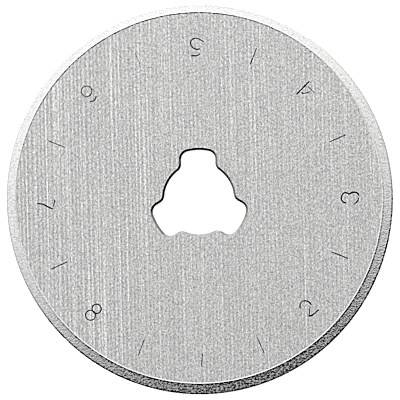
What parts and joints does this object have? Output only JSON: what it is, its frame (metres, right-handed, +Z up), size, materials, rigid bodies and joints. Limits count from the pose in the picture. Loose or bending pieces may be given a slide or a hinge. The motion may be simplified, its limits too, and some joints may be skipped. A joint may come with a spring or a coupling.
{
  "type": "rotary cutter blade",
  "caption": "Thin round steel blade with a rim ground from both faces to a knife edge and a lobed hub hole, the rolling blade of a hand-held fabric cutter.",
  "frame": {"origin": "centre of the hub hole at the blade's lower face", "axes": "+Z up through the hub hole and out of the marked face, +Y towards the middle of one lobe of the hub hole"},
  "size_m": [0.045, 0.045, 0.0003],
  "materials": {
    "blade_steel": "brushed"
  },
  "bodies": {
    "root": {"blade": "blade_steel"}
  },
  "joints": []
}
